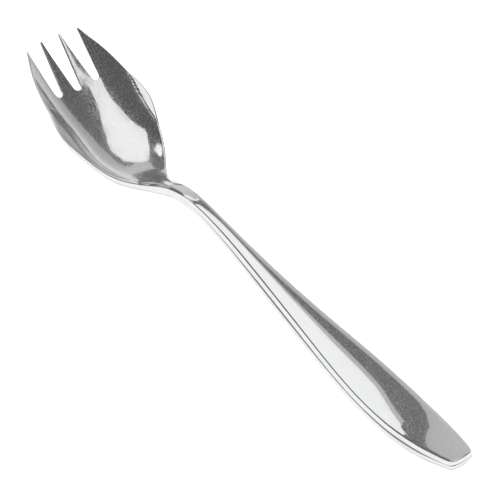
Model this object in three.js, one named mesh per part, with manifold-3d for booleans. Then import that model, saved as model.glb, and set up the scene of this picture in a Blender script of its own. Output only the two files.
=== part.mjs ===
// Oyster fork: one polished stainless blank, laid on a table, drawn in millimetres.
// X runs from the butt of the handle to the tine tips, Y to the fork's left, Z up.
// The origin is the middle of the fork's footprint at table height.

import * as THREE from 'three';
import { mergeVertices } from 'three/addons/utils/BufferGeometryUtils.js';
import Module from 'manifold-3d';

// Lengths of the three stretches of the blank
const handleLength = 66;
const neckLength = 38;
const headLength = 42;
const outerTineSetback = 1;

// Widths of the top face
const handleWidth = 10.72;
const neckWidth = 2.76;
const bowlWidth = 24.2;

// Thicknesses, square to the top face
const handleThickness = 3.15;
const neckThickness = 2.8;
const bowlThickness = 1.25;
const tineThickness = 0.9;

// Heights of the underside above the table
const endLift = 2.7;
const neckLift = 5.88;
const tipLift = 16.5;

// Shape of the cross-section
const bowlDepth = 5.75;
const handleCrown = 0.25;
const sideFlare = 1;
const lowerRound = 0.4;
const edgeRound = 0.16;
const lipWidth = 0.3;
const flangeWidth = 1.9;
const cornerRadius = 0.9;
const endBulge = 0.3;

// Slots between the tines
const slotRadius = 0.84;
const tineLength = 11.1;
const outerSlotOffset = 5.06;
const innerTipGap = 4.36;
const innerTipWidth = 0.54;
const outerTipWidth = 0.3;

const overallLength = handleLength + neckLength + headLength;
const neckStart = handleLength;
const headStart = handleLength + neckLength;
const outerTip = overallLength - outerTineSetback;
const slotRoot = overallLength - tineLength;

// Rows are [place along the stretch, size at that place], both as shares.
const handleOutlineShares = [[0, 0.5], [0.091, 0.735], [0.182, 0.889], [0.303, 0.99],
  [0.485, 0.948], [0.727, 0.675], [1, 0.394]];
const neckOutlineShares = [[0.421, 1.018], [0.684, 1.075], [0.868, 1.345], [0.974, 1.723]];
const headOutlineShares = [[0.071, 0.34], [0.19, 0.613], [0.333, 0.837], [0.476, 1],
  [0.619, 0.939], [0.81, 0.811], [1, 0.542]];

const endLiftShares = [[0, 1.004], [0.121, 0.467], [0.258, 0.063]];
const archLiftShares = [[0.379, -0.008], [0.576, 0.1], [0.833, 0.367]];
const neckLiftShares = [[0.158, 0.717], [0.474, 0.952], [0.658, 0.994], [0.816, 0.818],
  [0.974, 0.412]];
const headLiftShares = [[0.107, 0.031], [0.226, -0.002], [0.381, 0.058], [0.571, 0.25],
  [0.786, 0.587], [1, 0.999]];

const handleThicknessShares = [[0, 0.864], [0.333, 0.993], [0.939, 1.024]];
const neckThicknessShares = [[0.368, 1.102], [0.684, 0.962], [0.974, 0.781]];
const bowlThicknessShares = [[0.333, 1]];
const tineThicknessShares = [[0.667, 1.02], [1, 0.94]];

const handleCrownShares = [[0, -1], [0.909, -1]];
const neckCrownShares = [[0.474, -0.4], [0.816, -0.6]];
const heelDepthShares = [[0.974, -0.07]];
const bowlDepthShares = [[0.107, 0.09], [0.238, 0.457], [0.381, 0.836], [0.524, 1],
  [0.714, 0.763], [1, 0.1]];

const handleFlareShares = [[0, 0.23], [0.136, 0.926], [0.333, 0.889], [0.909, 1.047]];
const neckFlareShares = [[0.579, 0.453], [1, 0.241]];
const headFlareShares = [[0.381, 0.046], [1, 0.063]];

// The lens-shaped flange beside the bowl: where it starts and ends along the head
const flangeStartShare = 0.3;
const flangeEndShare = 0.66;

// Where the underside stops following the crown and starts following the bowl
const dishStartShare = 0.79;
const dishEndShare = 0.11;

// How flat the middle of the dish is: 0 is a plain bowl curve, 1 a flat floor with steep sides
const dishFlatness = 0.55;
const underFlatness = 0.2;

// Points across the top face, as shares of the dished width
const acrossShares = [-1, -0.84, -0.67, -0.48, -0.25, 0, 0.25, 0.48, 0.67, 0.84, 1];
const tineAcrossShares = [0, 0.34, 0.67, 1];
// Rows around the corners of the butt, as shares of their radius
const cornerShares = [0.06, 0.22, 0.45, 0.7];
const flangeSlopeShare = 0.22;
// How much of the soft edge a tine already has where it leaves the bowl
const softStartShare = 0.2;
// Where the tines leave the bowl, within the round root of the slots
const tineStartShare = 0.6;

// How finely each stretch is drawn
const handleSteps = 24;
const neckSteps = 18;
const bowlSteps = 26;
const rootSteps = 3;
const tineSteps = 10;
const slotSides = 32;
// Height of the points on the side face, and how far each stands out
const upperSide = { dropShare: 0.3, outShare: 0.47 };
const lowerSide = { dropShare: 0.68, outShare: 1 };
const sidePointCount = 2;

const tineStart = slotRoot + tineStartShare * slotRadius;

// Turns the rows of a table into [place, size] in millimetres.
function along(start, length, shares, size) {
  return shares.map(([place, part]) => [start + place * length, part * size]);
}

// A smooth curve with continuous curvature through the given [place, size] points.
function smoothCurve(points) {
  const last = points.length - 1;
  const gap = points.slice(1).map((point, i) => point[0] - points[i][0]);
  const rise = gap.map((width, i) => (points[i + 1][1] - points[i][1]) / width);
  const bend = new Array(last + 1).fill(0);
  const pivot = new Array(last + 1).fill(1);
  for (let i = 1; i < last; i += 1) {
    const factor = i > 1 ? gap[i - 1] / pivot[i - 1] : 0;
    pivot[i] = 2 * (gap[i - 1] + gap[i]) - factor * gap[i - 1];
    bend[i] = 6 * (rise[i] - rise[i - 1]) - factor * bend[i - 1];
  }
  for (let i = last - 1; i > 0; i -= 1) {
    bend[i] = (bend[i] - gap[i] * bend[i + 1]) / pivot[i];
  }
  return (place) => {
    let i = 0;
    while (i < last - 1 && place > points[i + 1][0]) i += 1;
    const before = place - points[i][0];
    const after = points[i + 1][0] - place;
    const ends = (points[i][1] * after + points[i + 1][1] * before) / gap[i];
    const sag = (bend[i] * (gap[i] + after) + bend[i + 1] * (gap[i] + before)) / (6 * gap[i]);
    return ends - before * after * sag;
  };
}

const outline = smoothCurve([
  ...along(0, handleLength, handleOutlineShares, handleWidth / 2),
  ...along(neckStart, neckLength, neckOutlineShares, neckWidth / 2),
  ...along(headStart, headLength, headOutlineShares, bowlWidth / 2),
]);
const lift = smoothCurve([
  ...along(0, handleLength, endLiftShares, endLift),
  ...along(0, handleLength, archLiftShares, neckLift),
  ...along(neckStart, neckLength, neckLiftShares, neckLift),
  ...along(headStart, headLength, headLiftShares, tipLift),
]);
const thickness = smoothCurve([
  ...along(0, handleLength, handleThicknessShares, handleThickness),
  ...along(neckStart, neckLength, neckThicknessShares, neckThickness),
  ...along(headStart, headLength, bowlThicknessShares, bowlThickness),
  ...along(headStart, headLength, tineThicknessShares, tineThickness),
]);
const depth = smoothCurve([
  ...along(0, handleLength, handleCrownShares, handleCrown),
  ...along(neckStart, neckLength, neckCrownShares, handleCrown),
  ...along(neckStart, neckLength, heelDepthShares, bowlDepth),
  ...along(headStart, headLength, bowlDepthShares, bowlDepth),
]);
const flare = smoothCurve([
  ...along(0, handleLength, handleFlareShares, sideFlare),
  ...along(neckStart, neckLength, neckFlareShares, sideFlare),
  ...along(headStart, headLength, headFlareShares, sideFlare),
]);

function smoothStep(place, start, end) {
  return THREE.MathUtils.smoothstep(place, start, end);
}

// Half the width of the top face, with the rounded corners of the butt.
function halfWidth(x) {
  const corner = Math.max(cornerRadius - x, 0);
  return outline(x) - cornerRadius + Math.sqrt(cornerRadius ** 2 - corner ** 2);
}

// Share of the half width that is dished; the rest is the flatter lip or flange.
function dishedShare(x) {
  const start = headStart + flangeStartShare * headLength;
  const end = headStart + flangeEndShare * headLength;
  const place = THREE.MathUtils.clamp((x - start) / (end - start), 0, 1);
  const flange = lipWidth + (flangeWidth - lipWidth) * Math.sin(Math.PI * place) ** 2;
  const onHead = smoothStep(x, neckStart, headStart);
  return 1 - (lipWidth + (flange - lipWidth) * onHead) / Math.max(outline(x), flangeWidth * 2);
}

// 0 on the handle and most of the neck, 1 on the bowl and the tines.
function onDish(x) {
  const start = neckStart + dishStartShare * neckLength;
  return smoothStep(x, start, headStart + dishEndShare * headLength);
}

// Height of a dish of depth 1 above its middle, for a place across from -1 to 1.
function dishHeight(across, flatness) {
  return (1 - flatness) * across ** 2 + flatness * across ** 4;
}

// Height of the section above its middle: a dish, then the flatter lip or flange.
function sectionRise(x, across) {
  const dished = dishedShare(x);
  const flatness = dishFlatness * onDish(x);
  const lipSlope = (2 + 2 * flatness) * flangeSlopeShare;
  const rim = 1 / (1 + lipSlope * (1 - dished) / dished);
  const place = Math.abs(across) / dished;
  if (place <= 1) return rim * dishHeight(place, flatness);
  return rim * (1 + lipSlope * (place - 1));
}

function topHeight(x, y) {
  return lift(x) + thickness(x) + depth(x) * sectionRise(x, y / outline(x));
}

// The dish that the underside follows: none under the handle, all of it under the bowl.
function underDish(x, y) {
  return depth(x) * onDish(x) * dishHeight(y / outline(x), underFlatness);
}

// The underside keeps the thickness square to the surface, and is flat where it would
// pass through the table.
function underHeight(x, y) {
  const step = slotRadius / 20;
  const middle = (place) => lift(place) + thickness(place) + underDish(place, y);
  const slopeX = (middle(x + step) - middle(x - step)) / (2 * step);
  const slopeY = (underDish(x, y + step) - underDish(x, y - step)) / (2 * step);
  const slant = Math.sqrt(1 + slopeX ** 2 + slopeY ** 2);
  return Math.max(0, lift(x) + underDish(x, y) - thickness(x) * (slant - 1));
}

// The side of the section: two points between the top edge and the lower edge,
// and how far out the lower edge stands.
function sideProfile(x, inset) {
  const edge = halfWidth(x) - inset;
  const high = topHeight(x, outline(x)) - inset;
  const wall = high - underHeight(x, outline(x)) - inset;
  const roundShare = Math.min(1, thickness(x) / handleThickness);
  return {
    upper: [edge + upperSide.outShare * flare(x), high - upperSide.dropShare * wall],
    lower: [edge + lowerSide.outShare * flare(x), high - lowerSide.dropShare * wall],
    foot: edge + flare(x) - lowerRound * roundShare,
  };
}

function roundButt(x, y) {
  const fade = Math.max(0, 1 - x / (cornerRadius * 4));
  return x + endBulge * (y / outline(0)) ** 2 * fade ** 2;
}

// One closed section of the handle, neck or bowl. The inset softens a free end.
function blankSection(x, inset = 0) {
  const dished = dishedShare(x);
  const across = [-1, ...acrossShares.map((share) => share * dished), 1];
  const side = sideProfile(x, inset);
  const edge = halfWidth(x) - inset;
  const place = (share) => share * outline(x);
  const upper = across.map((share) => [share * edge, topHeight(x, place(share)) - inset]);
  const under = across
    .map((share) => [share * side.foot, underHeight(x, place(share)) + inset])
    .reverse();
  const mirrored = ([y, z]) => [-y, z];
  const loop = [
    ...upper, side.upper, side.lower,
    ...under, mirrored(side.lower), mirrored(side.upper),
  ];
  return loop.map(([y, z]) => [roundButt(x, y), y, z]);
}

// Closes a row of sections into a solid, with a ladder of triangles across each end.
function solidFromSections(sections) {
  const size = sections[0].length;
  const count = size / 2 - sidePointCount;
  const positions = sections.flat(2);
  const faces = [];
  for (let row = 0; row + 1 < sections.length; row += 1) {
    for (let i = 0; i < size; i += 1) {
      const a = row * size + i;
      const b = row * size + ((i + 1) % size);
      faces.push(a, b, b + size, a, b + size, a + size);
    }
  }
  const ladder = [];
  for (let i = 0; i + 1 < count; i += 1) {
    const under = size - sidePointCount - 1 - i;
    ladder.push(i, i + 1, under - 1, i, under - 1, under);
  }
  for (let i = 0; i < sidePointCount; i += 1) {
    ladder.push(count - 1, count + i, count + i + 1);
    ladder.push(0, size - 1 - sidePointCount + i, size - sidePointCount + i);
  }
  const lastRow = (sections.length - 1) * size;
  faces.push(...ladder.slice().reverse());
  faces.push(...ladder.map((corner) => corner + lastRow));
  return closedGeometry(positions, faces);
}

// A closed geometry whose faces look outward.
function closedGeometry(positions, faces) {
  const geometry = new THREE.BufferGeometry();
  geometry.setAttribute('position', new THREE.Float32BufferAttribute(positions, 3));
  geometry.setIndex(signedVolume(positions, faces) < 0 ? faces.slice().reverse() : faces);
  return geometry;
}

function signedVolume(positions, faces) {
  const corner = (i) => new THREE.Vector3().fromArray(positions, 3 * faces[i]);
  let volume = 0;
  for (let i = 0; i < faces.length; i += 3) {
    volume += corner(i).dot(corner(i + 1).cross(corner(i + 2))) / 6;
  }
  return volume;
}

// Places from start to end, evenly spaced.
function places(start, end, steps) {
  return Array.from({ length: steps + 1 }, (_, i) => start + (end - start) * i / steps);
}

function handleSolid() {
  const corner = cornerShares.map((share) => share * cornerRadius);
  const sections = [
    blankSection(0, edgeRound),
    ...corner.map((x) => blankSection(x)),
    ...places(cornerRadius, neckStart, handleSteps).map((x) => blankSection(x)),
  ];
  return solidFromSections(sections);
}

function stretchSolid(start, end, steps) {
  return solidFromSections(places(start, end, steps).map((x) => blankSection(x)));
}

// How far a slot's edge stands from the slot's middle line: round, then straight.
function slotReach(x) {
  const short = Math.max(slotRoot + slotRadius - x, 0);
  return Math.sqrt(slotRadius ** 2 - short ** 2);
}

function edgeToTip(x, rootEdge, tipPlace, tipEdge) {
  const start = slotRoot + slotRadius;
  const share = Math.max(x - start, 0) / (tipPlace - start);
  return rootEdge + (tipEdge - rootEdge) * share;
}

// The edges of the tines on the fork's left; the right side mirrors them.
function innerTineEdges(x) {
  const gap = innerTipGap / 2;
  const low = edgeToTip(x, slotReach(x), overallLength, gap);
  const high = edgeToTip(x, outerSlotOffset - slotReach(x), overallLength, gap + innerTipWidth);
  return { low, high };
}

function outerTineEdges(x) {
  const tipEdge = outline(outerTip) - outerTipWidth;
  return { low: edgeToTip(x, outerSlotOffset + slotReach(x), outerTip, tipEdge) };
}

// One closed section of a tine. A tine on the rim keeps the bowl's side face outside.
function tineSection(x, edges, inset) {
  const onRim = edges.high === undefined;
  const low = edges.low + inset;
  const high = (onRim ? halfWidth(x) : edges.high) - inset;
  const grown = Math.min(1, (x - tineStart) / slotRadius);
  const soft = Math.min(edgeRound, (high - low) / 4) * (softStartShare + grown * (1 - softStartShare));
  const side = sideProfile(x, inset);
  const upperEnd = onRim ? high : high - soft;
  const underEnd = onRim ? side.foot : high - soft;
  const row = (end) => tineAcrossShares.map((share) => low + soft + (end - low - soft) * share);
  const upper = row(upperEnd).map((y) => [y, topHeight(x, y) - inset]);
  const under = row(underEnd).map((y) => [y, underHeight(x, y) + inset]).reverse();
  const plainSide = (y) => [
    [y, topHeight(x, y) - inset - soft],
    [y, underHeight(x, y) + inset + soft],
  ];
  const far = onRim ? [side.upper, side.lower] : plainSide(high);
  return [...upper, ...far, ...under, ...plainSide(low).reverse()].map(([y, z]) => [x, y, z]);
}

function tineSolid(edgesAt, tipPlace, side) {
  const inset = Math.min(edgeRound, outerTipWidth / 3, innerTipWidth / 3);
  const rows = [
    ...places(tineStart, slotRoot + slotRadius, rootSteps),
    ...places(slotRoot + slotRadius, tipPlace - edgeRound, tineSteps).slice(1),
  ];
  const sections = rows.map((x) => tineSection(x, edgesAt(x), 0));
  sections.push(tineSection(tipPlace, edgesAt(tipPlace), inset));
  const mirrored = sections.map((section) => section.map(([x, y, z]) => [x, y * side, z]));
  return solidFromSections(mirrored);
}

// The round bottom of a slot, as a cylinder standing through the bowl.
function slotCutter(y) {
  const height = 3 * (tipLift + bowlDepth);
  const cutter = new THREE.CylinderGeometry(slotRadius, slotRadius, height, slotSides);
  cutter.rotateX(Math.PI / 2);
  cutter.translate(slotRoot + slotRadius, y, 0);
  return cutter;
}

const wasm = await Module();
wasm.setup();

function toManifold(geometry) {
  const bare = new THREE.BufferGeometry();
  bare.setAttribute('position', geometry.getAttribute('position'));
  bare.setIndex(geometry.getIndex());
  const merged = mergeVertices(bare);
  const vertProperties = new Float32Array(merged.getAttribute('position').array);
  const triVerts = new Uint32Array(merged.getIndex().array);
  return new wasm.Manifold(new wasm.Mesh({ numProp: 3, vertProperties, triVerts }));
}

function toGeometry(manifold) {
  const mesh = manifold.getMesh();
  const geometry = new THREE.BufferGeometry();
  geometry.setAttribute('position', new THREE.Float32BufferAttribute(mesh.vertProperties, 3));
  geometry.setIndex(Array.from(mesh.triVerts));
  return geometry;
}

function bowlSolid() {
  const whole = toManifold(stretchSolid(headStart, tineStart, bowlSteps));
  const offsets = [-outerSlotOffset, 0, outerSlotOffset];
  const slotted = offsets.reduce((rest, y) => rest.subtract(toManifold(slotCutter(y))), whole);
  return toGeometry(slotted);
}

// Polished stainless steel; each piece carries its own finish.
function steel(color, roughness) {
  return new THREE.MeshStandardMaterial({ color, roughness, metalness: 1 });
}

function piece(name, geometry, material) {
  const placed = geometry.clone();
  placed.translate(-overallLength / 2, 0, 0);
  const mesh = new THREE.Mesh(placed, material);
  mesh.name = name;
  return mesh;
}

const fork = new THREE.Group();
fork.name = 'oyster_fork';
fork.add(
  piece('handle', handleSolid(), steel(0xc8cacc, 0.14)),
  piece('neck', stretchSolid(neckStart, headStart, neckSteps), steel(0xc8cacc, 0.12)),
  piece('bowl', bowlSolid(), steel(0xcacccd, 0.1)),
  piece('tine_outer_left', tineSolid(outerTineEdges, outerTip, 1), steel(0xc9cbcd, 0.12)),
  piece('tine_inner_left', tineSolid(innerTineEdges, overallLength, 1), steel(0xc9cbcd, 0.12)),
  piece('tine_inner_right', tineSolid(innerTineEdges, overallLength, -1), steel(0xc9cbcd, 0.12)),
  piece('tine_outer_right', tineSolid(outerTineEdges, outerTip, -1), steel(0xc9cbcd, 0.12)),
);

export default fork;
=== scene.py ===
# %% [markdown]
# # An oyster fork in polished stainless steel
#
# The real fork is one piece. A press cuts its outline and slots from sheet, rolls the
# bowl thin and leaves the handle thick, a die bends and dishes it, and polishing wheels
# run along it until it reflects like a mirror. A mirror hides nothing: what the eye sees
# is the room, bent by the surface. So this lesson spends its effort on smooth surfaces
# with exact normals, on softly rounded edges, and on a small studio for them to reflect.
#
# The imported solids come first. They are the frame that every dressed piece has to fit.

import math

import bmesh
import bpy
import numpy as np
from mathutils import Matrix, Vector


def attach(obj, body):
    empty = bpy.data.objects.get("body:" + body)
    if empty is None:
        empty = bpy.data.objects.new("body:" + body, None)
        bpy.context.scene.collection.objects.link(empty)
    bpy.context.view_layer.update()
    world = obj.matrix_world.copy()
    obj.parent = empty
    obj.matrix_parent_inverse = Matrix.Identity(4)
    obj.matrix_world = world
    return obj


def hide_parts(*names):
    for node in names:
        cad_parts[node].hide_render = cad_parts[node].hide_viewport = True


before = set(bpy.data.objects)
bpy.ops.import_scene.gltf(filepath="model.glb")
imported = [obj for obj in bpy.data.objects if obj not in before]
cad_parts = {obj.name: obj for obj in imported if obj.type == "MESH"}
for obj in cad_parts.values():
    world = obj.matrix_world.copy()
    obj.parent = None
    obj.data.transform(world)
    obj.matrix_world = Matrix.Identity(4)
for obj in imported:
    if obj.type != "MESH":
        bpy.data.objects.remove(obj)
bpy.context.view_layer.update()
MM = 0.001

# %% [markdown]
# ## Sizes
#
# These are the fork's own sizes in millimetres, the same as those of its solids. Places
# along the fork are measured from the butt of the handle. A table row is a pair: the
# place along its stretch and the size there, both as shares, so that a longer neck or a
# deeper bowl keeps its character.

# %% Sizes of the fork, in millimetres
HANDLE_LENGTH, NECK_LENGTH, HEAD_LENGTH = 66.0, 38.0, 42.0
HANDLE_WIDTH, NECK_WIDTH, BOWL_WIDTH = 10.72, 2.76, 24.2
HANDLE_THICKNESS, NECK_THICKNESS, BOWL_THICKNESS, TINE_THICKNESS = 3.15, 2.8, 1.25, 0.9
END_LIFT, NECK_LIFT, TIP_LIFT = 2.7, 5.88, 16.5
BOWL_DEPTH, HANDLE_CROWN, SIDE_FLARE, LOWER_ROUND = 5.75, 0.25, 1.0, 0.4
LIP_WIDTH, FLANGE_WIDTH, END_BULGE = 0.3, 1.9, 0.3
SLOT_RADIUS, TINE_LENGTH, OUTER_SLOT_OFFSET, OUTER_TINE_SETBACK = 0.84, 11.1, 5.06, 1.0
INNER_TIP_GAP, INNER_TIP_WIDTH, OUTER_TIP_WIDTH = 4.36, 0.54, 0.3
TINE_SEAM = 0.6  # how far past the slot's root a tine begins, in slot radii

OVERALL = HANDLE_LENGTH + NECK_LENGTH + HEAD_LENGTH
NECK_START = HANDLE_LENGTH
HEAD_START = HANDLE_LENGTH + NECK_LENGTH
OUTER_TIP = OVERALL - OUTER_TINE_SETBACK
SLOT_ROOT = OVERALL - TINE_LENGTH
SLOT_CENTRE = SLOT_ROOT + SLOT_RADIUS
TINE_START = SLOT_ROOT + TINE_SEAM * SLOT_RADIUS
print("overall length", OVERALL, "mm, slots start at", round(SLOT_ROOT, 2))

# %% [markdown]
# ## Smooth curves
#
# A polished blank has no flat spots and no sudden bends, so its outline, height and
# thickness are natural cubic splines. Their curvature is continuous, which matters more
# than anything else here: in a mirror, a jump in curvature shows as a broken reflection.

# %% A smooth curve through a table of places and sizes
def stretch(start, length, shares, size):
    return [(start + place * length, part * size) for place, part in shares]


def smooth_curve(*tables):
    place, size = np.array([row for table in tables for row in table]).T
    gap = np.diff(place)
    rise = np.diff(size) / gap
    last = len(place) - 1
    matrix = np.eye(last + 1)
    turn = np.zeros(last + 1)
    for i in range(1, last):
        matrix[i, i - 1 : i + 2] = gap[i - 1], 2 * (gap[i - 1] + gap[i]), gap[i]
        turn[i] = 6 * (rise[i] - rise[i - 1])
    bend = np.linalg.solve(matrix, turn)

    def at(x):
        x = np.asarray(x, float)
        i = np.clip(np.searchsorted(place, x) - 1, 0, last - 1)
        before, after = x - place[i], place[i + 1] - x
        ends = (size[i] * after + size[i + 1] * before) / gap[i]
        sag = bend[i] * (gap[i] + after) + bend[i + 1] * (gap[i] + before)
        return ends - before * after * sag / (6 * gap[i])

    return at


test_curve = smooth_curve([(0, 0), (1, 1), (2, 0)])
print("a curve through 0, 1 and 0 passes half-way at", round(float(test_curve(0.5)), 3))

# %% [markdown]
# ## The curves of the blank
#
# A die is cut from a drawing with a plan and a side view. The five curves below are that
# drawing: half the width, the height over the table, the metal's thickness, how far the
# middle lies below the rim (below zero where the face is crowned), and how far the sides
# flare out under the top edge. One long list of points would do as well, but shares of
# the handle, the neck and the head keep the three apart and easy to change.

# %% Outline, height, thickness, dish and flare of the blank
outline = smooth_curve(
    stretch(0, HANDLE_LENGTH, [(0, 0.5), (0.091, 0.735), (0.182, 0.889), (0.303, 0.99),
                               (0.485, 0.948), (0.727, 0.675), (1, 0.394)], HANDLE_WIDTH / 2),
    stretch(NECK_START, NECK_LENGTH, [(0.421, 1.018), (0.684, 1.075), (0.868, 1.345),
                                      (0.974, 1.723)], NECK_WIDTH / 2),
    stretch(HEAD_START, HEAD_LENGTH, [(0.071, 0.34), (0.19, 0.613), (0.333, 0.837),
                                      (0.476, 1), (0.619, 0.939), (0.81, 0.811),
                                      (1, 0.542)], BOWL_WIDTH / 2),
)
lift = smooth_curve(
    stretch(0, HANDLE_LENGTH, [(0, 1.004), (0.121, 0.467), (0.258, 0.063)], END_LIFT),
    stretch(0, HANDLE_LENGTH, [(0.379, -0.008), (0.576, 0.1), (0.833, 0.367)], NECK_LIFT),
    stretch(NECK_START, NECK_LENGTH, [(0.158, 0.717), (0.474, 0.952), (0.658, 0.994),
                                      (0.816, 0.818), (0.974, 0.412)], NECK_LIFT),
    stretch(HEAD_START, HEAD_LENGTH, [(0.107, 0.031), (0.226, -0.002), (0.381, 0.058),
                                      (0.571, 0.25), (0.786, 0.587), (1, 0.999)], TIP_LIFT),
)
thickness = smooth_curve(
    stretch(0, HANDLE_LENGTH, [(0, 0.864), (0.333, 0.993), (0.939, 1.024)], HANDLE_THICKNESS),
    stretch(NECK_START, NECK_LENGTH, [(0.368, 1.102), (0.684, 0.962), (0.974, 0.781)],
            NECK_THICKNESS),
    stretch(HEAD_START, HEAD_LENGTH, [(0.333, 1)], BOWL_THICKNESS),
    stretch(HEAD_START, HEAD_LENGTH, [(0.667, 1.02), (1, 0.94)], TINE_THICKNESS),
)
depth = smooth_curve(
    stretch(0, HANDLE_LENGTH, [(0, -1), (0.909, -1)], HANDLE_CROWN),
    stretch(NECK_START, NECK_LENGTH, [(0.474, -0.4), (0.816, -0.6)], HANDLE_CROWN),
    stretch(NECK_START, NECK_LENGTH, [(0.974, -0.07)], BOWL_DEPTH),
    stretch(HEAD_START, HEAD_LENGTH, [(0.107, 0.09), (0.238, 0.457), (0.381, 0.836),
                                      (0.524, 1), (0.714, 0.763), (1, 0.1)], BOWL_DEPTH),
)
flare = smooth_curve(
    stretch(0, HANDLE_LENGTH, [(0, 0.23), (0.136, 0.926), (0.333, 0.889), (0.909, 1.047)],
            SIDE_FLARE),
    stretch(NECK_START, NECK_LENGTH, [(0.579, 0.453), (1, 0.241)], SIDE_FLARE),
    stretch(HEAD_START, HEAD_LENGTH, [(0.381, 0.046), (1, 0.063)], SIDE_FLARE),
)
print("widest place of the bowl:", round(2 * float(outline(HEAD_START + 20)), 2), "mm")

# %% [markdown]
# ## The top face
#
# Across the handle the top face is very slightly crowned. Across the bowl it is a dish,
# with a flatter lip that widens to a lens-shaped flange on both sides and is narrow on the
# tines. A sculpted or subdivided face would keep small waves, and a mirror shows every
# one, so this face is a plain function: a height for every place in plan.

# %% The dish and its flatter lip
FLANGE_START, FLANGE_END = 0.3, 0.66  # places along the head
FLANGE_SLOPE, FLANGE_BLEND = 0.22, 0.3
TINE_LIP, LIP_FADE = 0.3, 2.0  # share of the lip's width, and millimetres
DISH_START, DISH_END = 0.79, 0.11  # places along the neck and along the head
DISH_FLATNESS = 0.55


def smooth_step(x, start, end):
    t = np.clip((x - start) / (end - start), 0, 1)
    return t * t * (3 - 2 * t)


def flange_width(x):
    start, end = (HEAD_START + place * HEAD_LENGTH for place in (FLANGE_START, FLANGE_END))
    place = np.clip((x - start) / (end - start), 0, 1)
    flange = LIP_WIDTH + (FLANGE_WIDTH - LIP_WIDTH) * np.sin(np.pi * place) ** 2
    width = LIP_WIDTH + (flange - LIP_WIDTH) * smooth_step(x, NECK_START, HEAD_START)
    return width * (1 - (1 - TINE_LIP) * smooth_step(x, end - LIP_FADE, end + LIP_FADE))


def flange_blend(x):
    return np.minimum(FLANGE_BLEND, flange_width(x))


def dished_share(x):
    return 1 - flange_width(x) / np.maximum(outline(x), 2 * FLANGE_WIDTH)


def on_dish(x):
    return smooth_step(x, NECK_START + DISH_START * NECK_LENGTH,
                       HEAD_START + DISH_END * HEAD_LENGTH)


def dish_shape(share, flatness):
    return (1 - flatness) * share**2 + flatness * share**4


def section_rise(x, y):
    """The height across a section: 0 on the middle line and 1 at the rim."""
    dished = dished_share(x)
    flatness = DISH_FLATNESS * on_dish(x)
    lip = (2 + 2 * flatness) * FLANGE_SLOPE
    rim = 1 / (1 + lip * (1 - dished) / dished)
    across = np.abs(y) / outline(x)
    dish = dish_shape(across / dished, flatness)
    flange = 1 + lip * (across - dished) / dished
    half = flange_blend(x) / outline(x)
    return rim * (dish + (flange - dish) * smooth_step(across, dished - half, dished + half))


flange_middle = HEAD_START + (FLANGE_START + FLANGE_END) / 2 * HEAD_LENGTH
print("flange", round(float(flange_width(flange_middle)), 2), "mm wide at its middle,",
      round(float(flange_width(OVERALL)), 2), "mm at the tips")

# %% [markdown]
# ## A soft shoulder
#
# Buffing wheels wear the long edges of a handle. Its face falls away a little before the
# side begins, which shows as a line of another tone along the edge. A bevel would give
# that line one width and a hard start. Here the drop grows with the square of the way
# into the shoulder, is narrower at the butt, and fades out on the neck.

# %% The top face with its shoulder
SHOULDER_WIDTH, SHOULDER_DROP, SHOULDER_SHARE = 1.5, 0.22, 0.75
BUTT_SHOULDER, BUTT_SHOULDER_START, BUTT_SHOULDER_END = 0.4, 3, 20
SHOULDER_FADE, SHOULDER_REACH = 0.5, 1.1  # place along the neck, and shares of the width


def shoulder(x, y):
    """How far the polished edge of the handle and neck has worn below the crown."""
    width = np.minimum(SHOULDER_WIDTH, SHOULDER_SHARE * outline(x))
    widening = smooth_step(x, BUTT_SHOULDER_START, BUTT_SHOULDER_END)
    width = width * (BUTT_SHOULDER + (1 - BUTT_SHOULDER) * widening)
    fade = 1 - smooth_step(x, NECK_START + SHOULDER_FADE * NECK_LENGTH, HEAD_START)
    beside = np.maximum(width - (outline(x) - np.abs(y)), 0)
    ahead = np.maximum(width - (x - END_BULGE * (y / outline(0)) ** 2), 0)
    share = np.minimum(np.hypot(beside, ahead) / width, SHOULDER_REACH)
    return SHOULDER_DROP * fade * (width / SHOULDER_WIDTH) * share**2


def top_height(x, y):
    return lift(x) + thickness(x) + depth(x) * section_rise(x, y) - shoulder(x, y)


print("bowl floor", round(float(top_height(HEAD_START + 10, 0)), 2), "mm above the table,",
      "rim", round(float(top_height(HEAD_START + 18, outline(HEAD_START + 18))), 2))

# %% [markdown]
# ## The underside
#
# Rolled metal has its thickness square to its surface, not straight down. A plain offset
# would be too thin on the steep walls of the bowl, so the underside is moved down by the
# slope there. Nothing goes below the table, which leaves the small flat that the handle
# rests on.

# %% The underside, and points on both faces
UNDER_FLATNESS = 0.2


def under_dish(x, y):
    across = np.abs(y) / outline(x)
    return depth(x) * on_dish(x) * dish_shape(across, UNDER_FLATNESS)


def under_height(x, y):
    step = SLOT_RADIUS / 20

    def middle(place):
        return lift(place) + thickness(place) + under_dish(place, y)

    slope_x = (middle(x + step) - middle(x - step)) / (2 * step)
    slope_y = (under_dish(x, y + step) - under_dish(x, y - step)) / (2 * step)
    slant = np.sqrt(1 + slope_x**2 + slope_y**2)
    return np.maximum(0, lift(x) + under_dish(x, y) - thickness(x) * (slant - 1))


def top_point(plan):
    return np.array([*plan, float(top_height(*plan))])


def under_point(plan):
    inside = min(abs(plan[1]), float(outline(plan[0])))
    return np.array([*plan, float(under_height(plan[0], inside))])


handle_middle = (HANDLE_LENGTH / 2, 0)
print("metal in the middle of the handle:",
      round(top_point(handle_middle)[2] - under_point(handle_middle)[2], 2), "mm")

# %% [markdown]
# ## The edge all round
#
# Tumbling and buffing round every edge of real cutlery. The edge is drawn as a little
# profile of three corners: the rim of the top face, the widest line of the side, and the
# foot where the side meets the underside. Each corner is replaced by a short curve, and
# the profile is then carried all round the fork, so the highlight along it never breaks.
#
# A bevel modifier rounds edges too, but with one shape everywhere. The thick handle has
# tight corners and a faint ledge along its side, and the thin bowl and tines are rounded
# far more. So each size below is a pair, and the neck blends the first into the second.

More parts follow.
